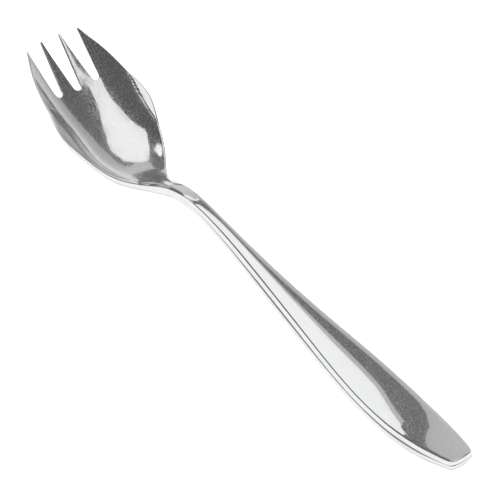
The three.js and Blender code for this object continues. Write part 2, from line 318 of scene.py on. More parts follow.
# %% The profile of the edge
# Shares of the wall's height, on the handle and on the bowl and tines.
ROUND_TOP, ROUND_WALL = (0.10, 0.58), (0.13, 0.42)
ROUND_WIDE, ROUND_FOOT = (0.15, 0.06), (0.12, 0.28)
LEDGE_TOP, LEDGE_LOW, LEDGE_DEPTH = (0.50, 0.70), (0.66, 0.82), (0.055, 0.0)
WIDEST_DROP, LEDGE_MIDDLE, TURN_LIMIT = 0.68, 0.75, 0.48
SLIM_START, SLIM_END = 0.6, 5  # place along the neck, and millimetres into the head
TOP_ROUND_LIMIT = 0.6
RIM_POINTS, SIDE_POINTS = 8, 6


def corner_curve(before, corner, after, count):
    t = np.linspace(0, 1, count)[:, None]
    return (1 - t) ** 2 * before + 2 * t * (1 - t) * corner + t**2 * after


def towards(start, end, distance):
    way = end - start
    return start + way * (distance / np.linalg.norm(way))


def edge_profile(rim, wide, foot, outward, limit=math.inf):
    """Points from the top face over the edge to the underside, at one place of the edge.
    rim, wide and foot are plan points, outward is the plan direction of the edge."""
    corner, lowest = top_point(rim), under_point(foot)
    wall = corner[2] - lowest[2]
    slim = float(smooth_step(rim[0], NECK_START + SLIM_START * NECK_LENGTH,
                             HEAD_START + SLIM_END))

    def share(pair):
        return pair[0] + (pair[1] - pair[0]) * slim

    top_in = rim - outward * min(share(ROUND_TOP) * wall, TOP_ROUND_LIMIT, limit)
    foot_in = foot - outward * min(share(ROUND_FOOT) * wall, limit)
    widest = np.array([*wide, corner[2] - WIDEST_DROP * wall])
    ledge_top = corner + share(LEDGE_TOP) * (widest - corner)
    ledge_top[:2] -= outward * share(LEDGE_DEPTH) * wall
    ledge_low = corner + share(LEDGE_LOW) * (widest - corner)
    side = float(np.linalg.norm(lowest - widest))
    turn = min(share(ROUND_FOOT) * wall, TURN_LIMIT * side)
    return np.vstack([
        corner_curve(top_point(top_in), corner,
                     towards(corner, ledge_top, share(ROUND_WALL) * wall), RIM_POINTS),
        ledge_top, (1 - LEDGE_MIDDLE) * ledge_top + LEDGE_MIDDLE * ledge_low, ledge_low,
        corner_curve(towards(widest, ledge_low, share(ROUND_WIDE) * wall), widest,
                     towards(widest, lowest, turn), SIDE_POINTS),
        corner_curve(towards(lowest, widest, turn), lowest, under_point(foot_in),
                     SIDE_POINTS),
    ])


print("an edge profile has", RIM_POINTS + 3 + 2 * SIDE_POINTS, "points")

# %% [markdown]
# ## The butt
#
# The handle ends in a nearly straight cut with two rounded corners. The whole blank will
# be one net of quads, with rows across the fork and columns along it, and a grid has
# trouble with corners. So the rows next to the butt end on points spread evenly along its
# rounded corner, and the last row is the end itself.

# %% The butt of the handle
CORNER_COUNT, BEND_POINTS = 9, 24
END_HALF, END_SETBACK, BUTT_ROW = 1.25, 0.28, 2.2
RIM_BEND, WIDE_BEND, FOOT_BEND, FOOT_STAND_OUT = 1.35, 0.55, 0.45, 0.3


def rounded_path(side_point, corner, end_point, reach, count):
    """A plan path from the side to the end, with its corner rounded, at even spacing."""
    bend = corner_curve(towards(corner, side_point, reach), corner,
                        towards(corner, end_point, reach), BEND_POINTS)
    path = np.vstack([side_point, bend, end_point])
    length = np.concatenate([[0], np.cumsum(np.linalg.norm(np.diff(path, axis=0), axis=1))])
    even = np.linspace(0, length[-1], count)
    return np.column_stack([np.interp(even, length, path[:, k]) for k in (0, 1)])


def end_place(setback, y):
    return setback + END_BULGE * (y / float(outline(0))) ** 2


def butt_path(setback, stand_out, reach):
    side = np.array([BUTT_ROW, float(outline(BUTT_ROW)) + stand_out * float(flare(BUTT_ROW))])
    half = float(outline(0)) + stand_out * float(flare(0))
    corner = np.array([end_place(setback, half), half])
    end = np.array([end_place(setback, END_HALF), END_HALF])
    return rounded_path(side, corner, end, reach, CORNER_COUNT)


butt_rim = butt_path(END_SETBACK, 0, RIM_BEND)
butt_wide = butt_path(0.0, 1, WIDE_BEND)
butt_foot = butt_path(END_SETBACK, FOOT_STAND_OUT, FOOT_BEND)
print("the butt's corner takes", CORNER_COUNT, "rows")

# %% [markdown]
# ## Columns and rows
#
# A quad net bends well only where its lines follow the form. So a column runs into each
# slot, four narrow cells follow the bend between dish and flange, and the rows lie closer
# together on the bowl and tines, where the form turns faster than on the handle.

# %% Columns: where the net lies across one half of a row
INNER_CELLS, WALL_CELLS, BEND_CELLS, FLANGE_CELLS = 8, 9, 4, 3
NARROWEST_CELL = 0.04
SOFT_EDGE, SOFT_SHARE = 0.36, 0.3
inner_shares = np.linspace(0, 1, INNER_CELLS + 1)


def outer_places(x, column, edge):
    """Places from the slot's column to the edge, with cells that follow the flange's bend."""
    bend = float(dished_share(x) * outline(x))
    blend = float(flange_blend(x))
    room = NARROWEST_CELL * (edge - column)
    low = min(max(bend - blend, column + FLANGE_CELLS * room),
              edge - (BEND_CELLS + FLANGE_CELLS) * room)
    high = min(max(bend + blend, low + BEND_CELLS * room), edge - FLANGE_CELLS * room)
    return [*np.linspace(column, low, WALL_CELLS + 1)[:-1],
            *np.linspace(low, high, BEND_CELLS + 1)[:-1],
            *np.linspace(high, edge, FLANGE_CELLS + 1)]


def slot_edges(x, soft_inner, soft_outer):
    """Places across of the edges of the tines on the left, set back by their soft edge."""
    short = max(SLOT_CENTRE - x, 0)
    inner = max(x - SLOT_CENTRE, 0) / (OVERALL - SLOT_CENTRE)
    outer = max(x - SLOT_CENTRE, 0) / (OUTER_TIP - SLOT_CENTRE)
    gap = INNER_TIP_GAP / 2
    rim = float(outline(OUTER_TIP)) - OUTER_TIP_WIDTH
    straight = OUTER_SLOT_OFFSET - SLOT_RADIUS

    def reach(soft):
        return math.sqrt(max((SLOT_RADIUS + soft) ** 2 - short**2, 0))

    return (
        reach(soft_inner) + (gap - SLOT_RADIUS) * inner,
        OUTER_SLOT_OFFSET - reach(soft_inner) + (gap + INNER_TIP_WIDTH - straight) * inner,
        OUTER_SLOT_OFFSET + reach(soft_outer) + (rim - OUTER_SLOT_OFFSET - SLOT_RADIUS) * outer,
    )


def soft_edges(x):
    """How wide the rounded edge may be on the inner and on the outer tine at a row."""
    low, high, outer = slot_edges(max(x, SLOT_CENTRE), 0, 0)
    return (min(SOFT_EDGE, SOFT_SHARE * (high - low)),
            min(SOFT_EDGE, SOFT_SHARE * (float(outline(x)) - outer)))


print("cells across one half:", INNER_CELLS + WALL_CELLS + BEND_CELLS + FLANGE_CELLS)

# %% Rows along the fork
HANDLE_STEP, NECK_STEP, BOWL_STEP, TINE_STEP = 0.8, 0.65, 0.6, 0.45
TIP_CAP = 0.24
ROOT_DEGREES = [12, 24, 36, 48, 58, 80, 90]


def even_rows(start, end, spacing):
    return list(np.linspace(start, end, max(2, round((end - start) / spacing)) + 1))


handle_rows = even_rows(BUTT_ROW, NECK_START, HANDLE_STEP)
neck_rows = even_rows(NECK_START, HEAD_START, NECK_STEP)
bowl_rows = even_rows(HEAD_START, SLOT_ROOT - SOFT_EDGE, BOWL_STEP)
root_radius = SLOT_RADIUS + SOFT_EDGE
seam_turn = math.acos((SLOT_CENTRE - TINE_START) / root_radius)
root_turns = sorted([*np.radians(ROOT_DEGREES), seam_turn])
root_rows = [SLOT_CENTRE - root_radius * math.cos(turn) for turn in root_turns]
inner_rows = root_rows + even_rows(SLOT_CENTRE, OVERALL - TIP_CAP, TINE_STEP)[1:]
outer_rows = root_rows + even_rows(SLOT_CENTRE, OUTER_TIP - TIP_CAP, TINE_STEP)[1:]
print(len(handle_rows), "rows on the handle,", len(neck_rows), "on the neck,",
      len(bowl_rows) + len(root_rows), "on the bowl,", len(inner_rows), "on a tine")

# %% [markdown]
# ## One net for the whole fork
#
# The net is gathered as plain arrays first: corners, quads, and the name of the node that
# each quad belongs to. Corners that fall on the same spot are shared, so patches that are
# drawn one after another become one skin. Blender could merge corners by distance later,
# but then the names and the order of the quads would be lost.

# %% Gathering the net
SPOTS_PER_MM = 1e4


class Net:
    def __init__(self):
        self.index, self.points, self.on_top = {}, [], []
        self.faces, self.owners = [], []

    def corner(self, point, on_top):
        key = tuple(int(v) for v in np.round(point * SPOTS_PER_MM))
        if key not in self.index:
            self.index[key] = len(self.points)
            self.points.append(point)
            self.on_top.append(on_top)
        number = self.index[key]
        self.on_top[number] = self.on_top[number] or on_top
        return number

    def patch(self, rows, owners, on_top=False):
        """Quads between neighbouring rows of points, with one owner name for each gap."""
        numbers = [[self.corner(point, on_top) for point in row] for row in rows]
        for low, high, owner in zip(numbers, numbers[1:], owners):
            for corners in zip(low, low[1:], high[1:], high):
                face = [n for k, n in enumerate(corners) if n not in corners[:k]]
                if len(face) > 2:
                    self.faces.append(face)
                    self.owners.append(owner)


def mirrored(points):
    return [point * np.array([1, -1, 1]) for point in points]


net = Net()
print("corners less than", 1 / SPOTS_PER_MM, "mm apart become one")

# %% [markdown]
# ## The blank from butt to slots
#
# Every row starts and ends on its edge profile. The top row, the underside row and the
# profiles become four patches, and a fifth closes the butt.

# %% The edge at every row
BEND_FADE_START, BEND_FADE_END = 6, 20  # millimetres from the butt
SPLIT_START = 14  # millimetres into the head


def across_half(x, edge):
    """Places across one half, with one column that leads to the outer slot."""
    split = float(smooth_step(x, HEAD_START + SPLIT_START, SLOT_ROOT - SOFT_EDGE))
    column = 0.5 * (1 - split) * edge + OUTER_SLOT_OFFSET * split
    return [*(inner_shares[:-1] * column), *outer_places(x, column, edge)]


def plan_row(edge_point, bow=0.0):
    """Plan points across a whole row that ends on edge_point, from right to left."""
    x, edge = edge_point
    left = [np.array([x + bow * (y * y - edge * edge), y]) for y in across_half(x, edge)]
    return [point * np.array([1, -1]) for point in left[:0:-1]] + left


def edge_direction(x):
    step = 0.05
    slope = float(outline(x + step) - outline(x - step)) / (2 * step)
    turn = slope * (1 - float(smooth_step(x, BEND_FADE_START, BEND_FADE_END)))
    return np.array([-turn, 1]) / math.hypot(turn, 1)


def side_row(x, limit=math.inf):
    half = float(outline(x))
    slim = min(1.0, float(thickness(x)) / HANDLE_THICKNESS)
    rim, wide = np.array([x, half]), np.array([x, half + float(flare(x))])
    foot = wide - np.array([0, LOWER_ROUND * slim])
    return edge_profile(rim, wide, foot, edge_direction(x), limit)


def path_direction(path, i):
    way = path[min(i + 1, len(path) - 1)] - path[max(i - 1, 0)]
    return np.array([way[1], -way[0]]) / np.linalg.norm(way)


end_turn = path_direction(butt_rim, CORNER_COUNT - 1)
end_profiles = []
half_end = float(outline(0))
for share in np.array(across_half(0, half_end)) / half_end:
    points = [np.array([end_place(setback, share * path[-1][1]), share * path[-1][1]])
              for setback, path in ((END_SETBACK, butt_rim), (0.0, butt_wide),
                                    (END_SETBACK, butt_foot))]
    direction = np.array([end_turn[0], end_turn[1] * share])
    end_profiles.append(edge_profile(*points, direction / np.linalg.norm(direction)))
end_profiles = [np.array(mirrored(p)) for p in end_profiles[:0:-1]] + end_profiles

corner_profiles = [
    edge_profile(butt_rim[i], butt_wide[i], butt_foot[i], path_direction(butt_rim, i))
    for i in range(CORNER_COUNT - 2, 0, -1)
]
bow = END_BULGE / half_end**2
corner_bows = [bow * (1 - k / CORNER_COUNT) for k in range(1, CORNER_COUNT - 1)]

print("profiles of the butt:", len(end_profiles), "across its end and", len(corner_profiles),
      "round each corner")

# %% The patches of the blank
blank_places = handle_rows + neck_rows[1:] + bowl_rows[1:]
blank_profiles = [side_row(x) for x in blank_places]
profiles = [end_profiles[-1]] + corner_profiles + blank_profiles
bows = corner_bows + [0.0] * len(blank_profiles)
owners = ["handle"] * (len(corner_profiles) + len(handle_rows))
owners += ["neck"] * (len(neck_rows) - 1) + ["bowl"] * (len(bowl_rows) - 1)

top_rows = [[p[0] for p in end_profiles]]
under_rows = [[p[-1] for p in end_profiles]]
for profile, row_bow in zip(profiles[1:], bows):
    top_rows.append([top_point(q) for q in plan_row(profile[0][:2], row_bow)])
    under_rows.append([under_point(q) for q in plan_row(profile[-1][:2], row_bow)])
net.patch(top_rows, owners, on_top=True)
net.patch(under_rows, owners)
net.patch(profiles, owners)
net.patch([mirrored(p) for p in profiles], owners)
net.patch(end_profiles, ["handle"] * (len(end_profiles) - 1))
print("blank drawn:", len(net.faces), "faces so far")

# %% [markdown]
# ## Slots and tines
#
# A punch cuts the slots with round ends, so the net opens like a zip: past the root, the
# column on a slot's middle line parts into two edges. Each edge rolls over a soft corner,
# runs down the wall and rolls under again. A tine narrows to its tip, and the soft corner
# narrows with it. Cutting the slots with a boolean would leave long thin faces round the
# roots, and their shading would spoil the mirror just where the eye looks.

# %% The edge of a slot and the end of a tine
SLOT_TOP_POINTS, SLOT_FOOT_POINTS, SLOT_FOOT = 6, 5, 0.7
TIP_TURNS = np.radians([25, 45, 62, 76, 90])
CLOSED = 0.01


def slot_profile(x, edge, soft_edge, side):
    """Over the edge of a slot at one row: side is -1 where the slot lies inward."""
    if x < SLOT_CENTRE:
        turn = math.acos(min(1, (SLOT_CENTRE - x) / (SLOT_RADIUS + soft_edge)))
        middle = edge + side * (SLOT_RADIUS + soft_edge) * math.sin(turn)
        wall = np.array([SLOT_CENTRE - SLOT_RADIUS * math.cos(turn),
                         middle - side * SLOT_RADIUS * math.sin(turn)])
    else:
        wall = np.array([x, edge + side * soft_edge])
    start = np.array([x, edge])
    high, low = top_point(wall), under_point(wall)
    return np.vstack([
        corner_curve(top_point(start), high, towards(high, low, soft_edge),
                     SLOT_TOP_POINTS),
        corner_curve(towards(low, high, SLOT_FOOT * soft_edge), low, under_point(start),
                     SLOT_FOOT_POINTS),
    ])


def tip_rows_of(rows, tip):
    """Rounds a tine's end: its last rows shrink towards the middle of the section."""
    last = [np.array(row[-1]) for row in rows]
    middle = np.vstack(last)
    middle = (middle.min(0) + middle.max(0)) / 2
    start = middle[0]
    for turn in TIP_TURNS:
        shrink = math.cos(turn)
        for row, points in zip(rows, last):
            moved = middle + (points - middle) * np.array([1, shrink, shrink])
            moved[:, 0] = points[:, 0] + (tip - start) * math.sin(turn)
            if shrink < CLOSED:
                moved[:] = [tip, *middle[1:]]
            row.append(list(moved))
    return rows


print("a slot's edge takes", SLOT_TOP_POINTS + SLOT_FOOT_POINTS, "points, a tip",
      len(TIP_TURNS), "more rows")

# %% The four tines
def draw_tine(name, places, tip, side, inner):
    top, under, inward, outward = [], [], [], []
    for x in [SLOT_ROOT - SOFT_EDGE, *places]:
        soft_inner, soft_outer = soft_edges(x)
        low, high, outer = slot_edges(x, soft_inner, soft_outer)
        if inner:
            low_profile = slot_profile(x, low, soft_inner, -1)
            high_profile = slot_profile(x, high, soft_inner, 1)
        else:
            low_profile = slot_profile(x, outer, soft_outer, -1)
            room = SOFT_SHARE * (float(outline(x)) - slot_edges(x, 0, 0)[2])
            high_profile = side_row(x, room)

        def row(k):
            start, end = low_profile[k][:2], high_profile[k][:2]
            shares = inner_shares if inner else (
                np.array(outer_places(x, start[1], end[1])) - start[1]) / (end[1] - start[1])
            return [start + (end - start) * share for share in shares]

        top.append([top_point(q) for q in row(0)])
        under.append([under_point(q) for q in row(-1)])
        inward.append(low_profile)
        outward.append(high_profile)
    seam = root_turns.index(seam_turn) + 1
    parts = tip_rows_of([top, under, inward, outward], tip)
    count = len(top) - 1
    owners = ["bowl"] * seam + [name] * (count - seam)
    for k, rows in enumerate(parts):
        if side < 0:
            rows = [mirrored(row) for row in rows]
        flat = len(rows) - len(TIP_TURNS)
        net.patch(rows[:flat], owners[: flat - 1], on_top=(k == 0))
        net.patch(rows[flat - 1 :], owners[flat - 1 :])


draw_tine("tine_inner_left", inner_rows, OVERALL, 1, True)
draw_tine("tine_inner_right", inner_rows, OVERALL, -1, True)
draw_tine("tine_outer_left", outer_rows, OUTER_TIP, 1, False)
draw_tine("tine_outer_right", outer_rows, OUTER_TIP, -1, False)
points = np.array(net.points)
print("whole net:", len(net.faces), "faces,", len(points), "corners, reach in mm",
      points.min(0).round(2), points.max(0).round(2))

# %% [markdown]
# ## Exact normals
#
# A polished face shows errors of a hundredth of a degree. Blender's own smooth shading
# averages the quads round a corner, which is good enough on the edges. On the top face
# each corner gets the exact normal instead, worked out from the height function.

# %% A normal for every corner of the net
def surface_normals(points, height):
    step = 0.01
    x, y = points[:, 0], points[:, 1]
    slope_x = (height(x + step, y) - height(x - step, y)) / (2 * step)
    slope_y = (height(x, y + step) - height(x, y - step)) / (2 * step)
    normals = np.column_stack([-slope_x, -slope_y, np.ones(len(x))])
    return normals / np.linalg.norm(normals, axis=1)[:, None]


skin = bmesh.new()
skin_corners = [skin.verts.new(point) for point in points]
skin_faces = [skin.faces.new([skin_corners[n] for n in face]) for face in net.faces]
bmesh.ops.recalc_face_normals(skin, faces=skin_faces)
skin.verts.index_update()
faces = [[corner.index for corner in face.verts] for face in skin_faces]
normals = np.zeros_like(points)
for face, outward in zip(faces, skin_faces):
    normals[face] += np.array(outward.normal) * outward.calc_area()
skin.free()
normals /= np.linalg.norm(normals, axis=1)[:, None]
polished = np.array(net.on_top)
exact = surface_normals(points[polished], top_height)
likeness = np.clip((exact * normals[polished]).sum(1), -1, 1)
print("largest angle between exact and averaged normals on the top face:",
      round(float(np.degrees(np.arccos(likeness)).max()), 2), "degrees")
normals[polished] = exact

# %% [markdown]
# ## Seven pieces
#
# The net is parted at the lines where the solids meet. Both sides of such a line keep the
# same normals, so no seam shows in the polish. Each piece is closed with a flat cap, as
# the solid that it stands for is closed, and it takes that solid's place.

# %% Seven meshes
def piece_mesh(name):
    own = [face for face, owner in zip(faces, net.owners) if owner == name]
    used = sorted({n for face in own for n in face})
    place = {n: k for k, n in enumerate(used)}
    mesh = bpy.data.meshes.new(name)
    centred = (points[used] - [OVERALL / 2, 0, 0]) * MM
    mesh.from_pydata(centred.tolist(), [], [[place[n] for n in face] for face in own])
    work = bmesh.new()
    work.from_mesh(mesh)
    rim = [edge for edge in work.edges if edge.is_boundary]
    bmesh.ops.holes_fill(work, edges=rim, sides=0)
    bmesh.ops.recalc_face_normals(work, faces=work.faces)
    work.to_mesh(mesh)
    work.free()
    mesh.polygons.foreach_set("use_smooth", [True] * len(mesh.polygons))
    corner_normals = normals[used]
    split = np.empty((len(mesh.loops), 3))
    for polygon in mesh.polygons:
        for loop in polygon.loop_indices:
            smooth = corner_normals[mesh.loops[loop].vertex_index]
            split[loop] = smooth if polygon.index < len(own) else polygon.normal
    mesh.normals_split_custom_set(split.tolist())
    print(name, len(own), "faces and", len(mesh.polygons) - len(own), "caps")
    return mesh


NODES = ["handle", "neck", "bowl", "tine_outer_left", "tine_inner_left",
         "tine_inner_right", "tine_outer_right"]
pieces = {}
for node in NODES:
    piece = bpy.data.objects.new("polished_" + node, piece_mesh(node))
    bpy.context.scene.collection.objects.link(piece)
    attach(piece, "root")
    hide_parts(node)
    pieces[node] = piece

# %% [markdown]
# ## Polished steel
#
# The blank was ground and then buffed along its length, so the mirror carries fine lines.
# Use has added scratches, most of them in the bowl, where food is speared and the fork
# meets the plate, and fingers leave soft dull patches. A photo texture would tie these
# marks to one size of fork. Here each kind is a small node group that gives a height or a
# mask, and position goes in as millimetres along, across and above the fork.

# %% Helpers for node trees
def add(tree, kind, inputs=None, **settings):
    """Adds a node; inputs are values or sockets by name, settings its other properties."""
    node = tree.nodes.new("ShaderNode" + kind)
    for name, value in settings.items():
        setattr(node, name, value)
    for name, value in (inputs or {}).items():
        if isinstance(value, bpy.types.NodeSocket):
            tree.links.new(value, node.inputs[name])
        else:
            node.inputs[name].default_value = value
    return node


def new_group(name, floats, output):
    """A node group that takes a position and numbers, and gives one number."""
    group = bpy.data.node_groups.new(name, "ShaderNodeTree")
    group.interface.new_socket("Position", in_out="INPUT", socket_type="NodeSocketVector")
    for label, value in floats.items():
        socket = group.interface.new_socket(label, in_out="INPUT",
                                            socket_type="NodeSocketFloat")
        socket.default_value = value
    group.interface.new_socket(output, in_out="OUTPUT", socket_type="NodeSocketFloat")
    return group, group.nodes.new("NodeGroupInput").outputs, group.nodes.new("NodeGroupOutput")


def math_node(tree, operation, *values):
    return add(tree, "Math", dict(enumerate(values)), operation=operation).outputs["Value"]


def stretched(tree, position, length, width):
    """The plan position in units of a mark's length and width."""
    along = math_node(tree, "DIVIDE", 1.0, length)
    across = math_node(tree, "DIVIDE", 1.0, width)
    scale = add(tree, "CombineXYZ", {"X": along, "Y": across})
    return add(tree, "VectorMath", {0: position, 1: scale.outputs["Vector"]},
               operation="MULTIPLY").outputs["Vector"]


print("helpers: add, new_group, math_node and stretched")

# %% [markdown]
# ## Polishing lines
#
# Grinding leaves broad shallow waves along the fork, and buffing leaves hair-fine ones.
# They feather the edge of a reflection that crosses them. An anisotropic shader blurs
# evenly and hides the single lines, so both are a stretched noise used as height. It is
# read in plan only, because height over the table would break the lines on steep walls.

# %% Polishing lines
def polishing_lines():
    group, given, result = new_group("polishing_lines", {"Length": 12, "Width": 0.3}, "Height")
    place = stretched(group, given["Position"], given["Length"], given["Width"])
    noise = add(group, "TexNoise", {"Vector": place, "Scale": 1, "Detail": 2, "Roughness": 0.6},
                noise_dimensions="2D")
    group.links.new(noise.outputs["Fac"], result.inputs["Height"])
    return group


groups = {"polishing_lines": polishing_lines()}
print("groups so far:", ", ".join(groups))

# %% [markdown]
# ## Scratches
#
# A scratch is a thin stroke that starts and stops. A threshold on stretched noise keeps
# only its highest ridges, and these are such strokes. Real ones are never quite straight,
# so a slow second noise bends the plan before the stretch.

# %% Scratches
STROKE_DRIFT = 1.5  # millimetres that the slow noise moves a stroke
STROKE_START, STROKE_RANGE, STROKE_SOFTNESS = 0.9, 0.4, 0.06


def scratches():
    """Short thin strokes that all run one way; Share says how many there are."""
    group, given, result = new_group(
        "scratches", {"Angle": 0, "Length": 4, "Width": 0.12, "Share": 0.3}, "Mask")
    bend = add(group, "TexNoise", {"Vector": given["Position"], "Scale": 0.22, "Detail": 1})
    moved = add(group, "VectorMath",
                {0: bend.outputs["Color"], 1: (STROKE_DRIFT, STROKE_DRIFT, 0),
                 2: given["Position"]}, operation="MULTIPLY_ADD")
    turned = add(group, "VectorRotate",
                 {"Vector": moved.outputs["Vector"], "Angle": given["Angle"]})
    place = stretched(group, turned.outputs["Vector"], given["Length"], given["Width"])
    noise = add(group, "TexNoise", {"Vector": place, "Scale": 1, "Detail": 0},
                noise_dimensions="2D")
    lowered = math_node(group, "MULTIPLY", given["Share"], STROKE_RANGE)
    start = math_node(group, "SUBTRACT", STROKE_START, lowered)
    stroke = add(group, "MapRange",
                 {"Value": noise.outputs["Fac"], "From Min": start,
                  "From Max": math_node(group, "ADD", start, STROKE_SOFTNESS)})
    group.links.new(stroke.outputs["Result"], result.inputs["Mask"])
    return group


groups["scratches"] = scratches()
print("groups so far:", ", ".join(groups))

# %% [markdown]
# ## Dull patches
#
# Fingers and water leave patches that are a shade duller, with ragged borders. Painting
# them would take a texture, and a distorted noise with a soft threshold looks the same.

# %% Dull patches
def dull_patches():
    group, given, result = new_group("dull_patches", {"Size": 8, "Sharpness": 0.5}, "Mask")
    small = math_node(group, "DIVIDE", 1.0, given["Size"])
    noise = add(group, "TexNoise", {"Vector": given["Position"], "Scale": small, "Detail": 4,
                                    "Roughness": 0.62, "Distortion": 0.4})
    half = math_node(group, "MULTIPLY_ADD", given["Sharpness"], -0.25, 0.3)
    patch = add(group, "MapRange",
                {"Value": noise.outputs["Fac"],
                 "From Min": math_node(group, "SUBTRACT", 0.5, half),
                 "From Max": math_node(group, "ADD", 0.5, half)},
                interpolation_type="SMOOTHSTEP")
    group.links.new(patch.outputs["Result"], result.inputs["Mask"])
    return group


groups["dull_patches"] = dull_patches()
print("groups so far:", ", ".join(groups))

# %% [markdown]
# ## Grain
#
# Tumbling in a drum leaves tiny specks that scatter the light. If the whole mirror were a
# little rough instead, the edges of its reflections would blur, and on the real fork they
# are crisp. So the grain is fine noise, and the steel will be rough only on its peaks.

# %% Grain
def grain():
    group, given, result = new_group("grain", {"Size": 0.3}, "Height")
    fine = math_node(group, "DIVIDE", 1.0, given["Size"])
    noise = add(group, "TexNoise", {"Vector": given["Position"], "Scale": fine, "Detail": 2,
                                    "Roughness": 0.7})
    group.links.new(noise.outputs["Fac"], result.inputs["Height"])
    return group


groups["grain"] = grain()
print("marks on the steel:", ", ".join(groups))

# %% [markdown]
# ## One steel, two kinds of use
#
# The same steel covers all seven pieces. A wear mask rises from the neck to the bowl, so
# the bowl gets more scratches and a duller mirror than the handle. Two materials would
# show a line where the pieces meet, and one mask along the fork does not.

# %% Where the steel is worn, and its marks
WEAR_START, WEAR_END, HANDLE_WEAR = 20.0, 36.0, 0.15
SPECK_START, SPECK_END = 0.56, 0.66
SCRATCH_LAYERS = [("along", 0.12, 5.0, 0.09, 0.54), ("leaning", 0.75, 4.0, 0.08, 0.48),
                  ("across", 1.9, 3.0, 0.08, 0.46), ("handling", -0.5, 4.0, 0.08, 0.46)]
steel = bpy.data.materials.new("polished_steel")
steel.use_nodes = True
steel_tree = steel.node_tree
on_fork = add(steel_tree, "TexCoord").outputs["Object"]
millimetres = add(steel_tree, "VectorMath", {0: on_fork, "Scale": 1000.0},
                  operation="SCALE").outputs["Vector"]


def use(name, label, **inputs):
    node = steel_tree.nodes.new("ShaderNodeGroup")
    node.node_tree, node.label = groups[name], label
    steel_tree.links.new(millimetres, node.inputs["Position"])
    for socket, value in inputs.items():
        node.inputs[socket].default_value = value
    return node.outputs[0]


along = add(steel_tree, "SeparateXYZ", {"Vector": millimetres}).outputs["X"]
wear = add(steel_tree, "MapRange", {"Value": along, "From Min": WEAR_START, "From Max": WEAR_END},
           interpolation_type="SMOOTHSTEP").outputs["Result"]
use_share = math_node(steel_tree, "MULTIPLY_ADD", wear, 1 - HANDLE_WEAR, HANDLE_WEAR)
layers = [use("scratches", label, Angle=angle, Length=length, Width=width, Share=share)
          for label, angle, length, width, share in SCRATCH_LAYERS]
marks = layers[0]
for layer in layers[1:]:
    marks = math_node(steel_tree, "MAXIMUM", marks, layer)
marks = math_node(steel_tree, "MULTIPLY", marks, use_share)
buffing = use("polishing_lines", "buffing lines", Length=5.0, Width=0.2)
grinding = use("polishing_lines", "grinding lines", Length=25.0, Width=0.9)
patches = use("dull_patches", "finger marks", Size=7.0, Sharpness=0.5)
dust = use("grain", "tumbling grain", Size=0.16)
speck = add(steel_tree, "MapRange", {"Value": dust, "From Min": SPECK_START,
                                     "From Max": SPECK_END}).outputs["Result"]
print("steel with", len(SCRATCH_LAYERS), "layers of scratches")

# %% The steel itself
# Heights are in millimetres: the highest line stands about a thousandth of one.
BUFFING_HEIGHT, GRINDING_HEIGHT, GRAIN_HEIGHT, SCRATCH_DEPTH = 0.0013, 0.0008, 0.0002, 0.0006
CLEAN, PATCH_DULLNESS, WEAR_DULLNESS, SPECK_DULLNESS, SCRATCH_DULLNESS = (
    0.01, 0.02, 0.005, 0.35, 0.22)
DEEP_TINT, HIGH_TINT = (0.74, 0.745, 0.75, 1), (0.82, 0.825, 0.83, 1)

height = math_node(steel_tree, "MULTIPLY", buffing, BUFFING_HEIGHT)
height = math_node(steel_tree, "MULTIPLY_ADD", dust, GRAIN_HEIGHT, height)
height = math_node(steel_tree, "MULTIPLY_ADD", marks, -SCRATCH_DEPTH, height)
height = math_node(steel_tree, "MULTIPLY", height, use_share)
height = math_node(steel_tree, "MULTIPLY_ADD", grinding, GRINDING_HEIGHT, height)
bump = add(steel_tree, "Bump", {"Height": height, "Distance": MM, "Strength": 1.0})

rough = math_node(steel_tree, "MULTIPLY_ADD", patches, PATCH_DULLNESS, CLEAN)
rough = math_node(steel_tree, "MULTIPLY_ADD", wear, WEAR_DULLNESS, rough)
rough = math_node(steel_tree, "MULTIPLY_ADD", speck, SPECK_DULLNESS, rough)
rough = math_node(steel_tree, "MULTIPLY_ADD", marks, SCRATCH_DULLNESS, rough)
tint = add(steel_tree, "Mix", {"Factor": buffing}, data_type="RGBA")
tint.inputs["A"].default_value, tint.inputs["B"].default_value = DEEP_TINT, HIGH_TINT

steel_shader = steel_tree.nodes["Principled BSDF"]
steel_shader.inputs["Metallic"].default_value = 1
steel_tree.links.new(tint.outputs["Result"], steel_shader.inputs["Base Color"])
steel_tree.links.new(rough, steel_shader.inputs["Roughness"])
steel_tree.links.new(bump.outputs["Normal"], steel_shader.inputs["Normal"])
for piece in pieces.values():
    piece.data.materials.append(steel)
print("the steel is on", len(pieces), "pieces")

# %% [markdown]
# ## The paper
#
# A mirror is lit by what it reflects, so the studio matters as much as the fork. The floor
# is a wide sheet of white paper. To the camera it glows evenly, which gives the pure white
# ground of a catalogue picture. The steel sees it as lit paper with a painted shade on its
# far side: its colour is made darker there, and that painted shade gives the underside's
# edge and the far rims their dark lines.

# %% A matt material, and the floor
FLOOR_HALF, FLOOR_DROP = 6.0, 0.00002
# painted shade: across these places the paper's colour falls to a dark tone on its far side
PAINTED_SHADE_END, PAINTED_SHADE_START = -0.07, -0.03  # places across the paper, in metres
PAINTED_SHADE_TONE, PAPER_TONE = 0.25, 0.9


def matt(name, colour, glow):
    """A material without gloss that glows by itself; gives its node tree and shader."""
    material = bpy.data.materials.new(name)
    material.use_nodes = True
    shader = material.node_tree.nodes["Principled BSDF"]
    shader.inputs["Base Color"].default_value = (colour, colour, colour, 1)
    shader.inputs["Roughness"].default_value = 1
    shader.inputs["Specular IOR Level"].default_value = 0
    shader.inputs["Emission Color"].default_value = (1, 1, 1, 1)
    shader.inputs["Emission Strength"].default_value = glow
    return material, material.node_tree, shader


def flat_sheet(name, corners, material):
    mesh = bpy.data.meshes.new(name)
    mesh.from_pydata(corners, [], [range(len(corners))])
    mesh.materials.append(material)
    sheet = bpy.data.objects.new(name, mesh)
    bpy.context.scene.collection.objects.link(sheet)
    return sheet


